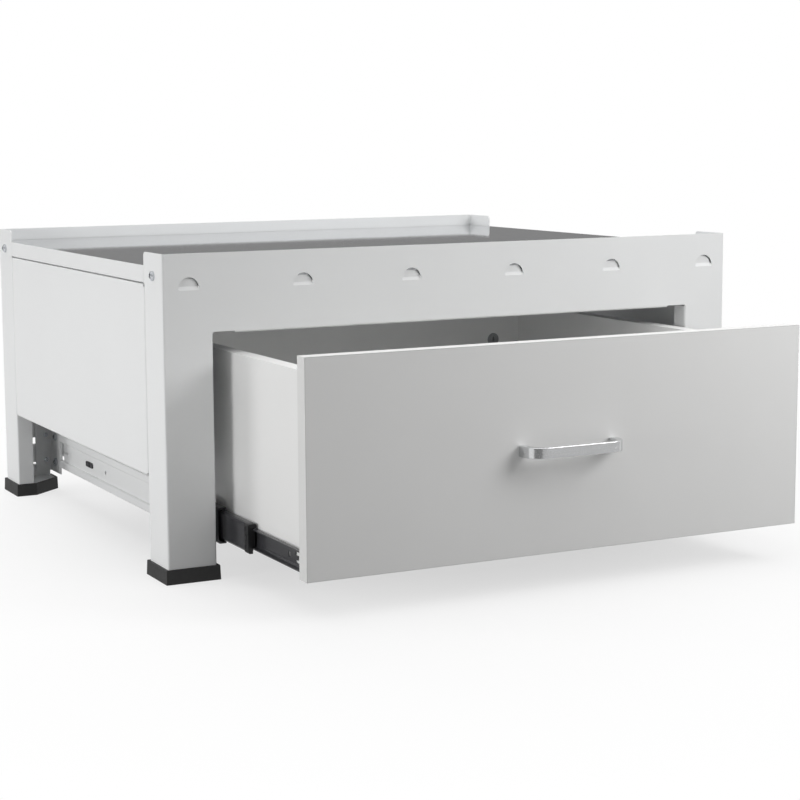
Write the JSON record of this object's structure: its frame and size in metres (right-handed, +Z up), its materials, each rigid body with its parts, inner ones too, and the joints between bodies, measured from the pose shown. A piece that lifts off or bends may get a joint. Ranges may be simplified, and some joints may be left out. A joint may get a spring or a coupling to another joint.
{
  "type": "washing machine pedestal drawer",
  "caption": "Free-standing white steel pedestal for a washing machine or dryer, with a grey deck inside raised edges and a drawer with a bow handle on ball-bearing slides",
  "frame": {"origin": "under the middle of the whole object, with the drawer open as in the picture, on the floor", "axes": "+X to the right seen from the front, +Y from the drawer front to the back, +Z up"},
  "size_m": [0.639, 0.7578, 0.3083],
  "materials": {
    "white_powder_coat": "smooth satin powder coat on folded steel sheet",
    "galvanised_sheet": "dull zinc-coated sheet",
    "zinc_plated_steel": "bright zinc plating",
    "black_rubber": "moulded matt rubber",
    "black_coated_steel": "black dip coat on rolled steel",
    "black_plastic": "moulded plastic",
    "polished_steel": "polished bearing steel",
    "white_melamine_board": "chipboard faced with fine-textured white melamine",
    "white_edge_band": "plastic edge band",
    "die_cast_zinc": "die-cast zinc",
    "satin_aluminium": "satin anodised"
  },
  "bodies": {
    "frame": {"front_frame": "white_powder_coat", "rear_frame": "white_powder_coat", "deck_plate": "galvanised_sheet", "deck_brace_left": "galvanised_sheet", "deck_brace_right": "galvanised_sheet", "side_rail_left": "white_powder_coat", "side_rail_right": "white_powder_coat", "side_panel_left": "white_powder_coat", "side_panel_right": "white_powder_coat", "rail_screws": "zinc_plated_steel", "rail_nuts": "zinc_plated_steel", "panel_rivets": "zinc_plated_steel", "foot_front_left": "black_rubber", "foot_front_right": "black_rubber", "foot_rear_left": "black_rubber", "foot_rear_right": "black_rubber", "slide_carrier_left": "white_powder_coat", "slide_carrier_right": "white_powder_coat", "front_bracket_left": "white_powder_coat", "front_bracket_right": "white_powder_coat", "rear_bracket_left": "white_powder_coat", "rear_bracket_right": "white_powder_coat", "bracket_screws": "zinc_plated_steel", "carrier_screws": "zinc_plated_steel", "slide_outer_left": "black_coated_steel", "slide_outer_right": "black_coated_steel", "outer_slide_rivets": "zinc_plated_steel"},
    "drawer": {"drawer_front": "white_melamine_board", "front_edge_band": "white_edge_band", "drawer_side_left": "white_melamine_board", "drawer_side_right": "white_melamine_board", "drawer_back": "white_melamine_board", "drawer_bottom": "white_melamine_board", "cam_locks": "die_cast_zinc", "cam_bolts": "zinc_plated_steel", "handle": "satin_aluminium", "handle_screws": "zinc_plated_steel", "slide_inner_left": "black_coated_steel", "slide_inner_right": "black_coated_steel", "inner_slide_screws": "zinc_plated_steel"},
    "left_middle": {"slide_middle_left": "black_coated_steel", "middle_stop_left": "black_plastic"},
    "left_outer_bearing": {"outer_cage_left": "zinc_plated_steel", "outer_balls_left": "polished_steel"},
    "left_inner_bearing": {"inner_cage_left": "zinc_plated_steel", "inner_balls_left": "polished_steel"},
    "right_middle": {"slide_middle_right": "black_coated_steel", "middle_stop_right": "black_plastic"},
    "right_outer_bearing": {"outer_cage_right": "zinc_plated_steel", "outer_balls_right": "polished_steel"},
    "right_inner_bearing": {"inner_cage_right": "zinc_plated_steel", "inner_balls_right": "polished_steel"}
  },
  "joints": [
    {"name": "drawer_slide", "type": "slide", "parent": "frame", "child": "drawer", "axis": [0, -1, 0], "range_m": [-0.191, 0.259]},
    {"name": "left_middle_slide", "type": "slide", "parent": "frame", "child": "left_middle", "axis": [0, -1, 0], "range_m": [-0.0955, 0.1295]},
    {"name": "left_outer_bearing_roll", "type": "slide", "parent": "frame", "child": "left_outer_bearing", "axis": [0, -1, 0], "range_m": [-0.04775, 0.06475]},
    {"name": "left_inner_bearing_roll", "type": "slide", "parent": "frame", "child": "left_inner_bearing", "axis": [0, -1, 0], "range_m": [-0.14325, 0.19425]},
    {"name": "right_middle_slide", "type": "slide", "parent": "frame", "child": "right_middle", "axis": [0, -1, 0], "range_m": [-0.0955, 0.1295]},
    {"name": "right_outer_bearing_roll", "type": "slide", "parent": "frame", "child": "right_outer_bearing", "axis": [0, -1, 0], "range_m": [-0.04775, 0.06475]},
    {"name": "right_inner_bearing_roll", "type": "slide", "parent": "frame", "child": "right_inner_bearing", "axis": [0, -1, 0], "range_m": [-0.14325, 0.19425]}
  ],
  "couplings": [
    {"joint": "left_middle_slide", "follows": "drawer_slide", "ratio": 0.5},
    {"joint": "left_outer_bearing_roll", "follows": "drawer_slide", "ratio": 0.25},
    {"joint": "left_inner_bearing_roll", "follows": "drawer_slide", "ratio": 0.75},
    {"joint": "right_middle_slide", "follows": "drawer_slide", "ratio": 0.5},
    {"joint": "right_outer_bearing_roll", "follows": "drawer_slide", "ratio": 0.25},
    {"joint": "right_inner_bearing_roll", "follows": "drawer_slide", "ratio": 0.75}
  ]
}
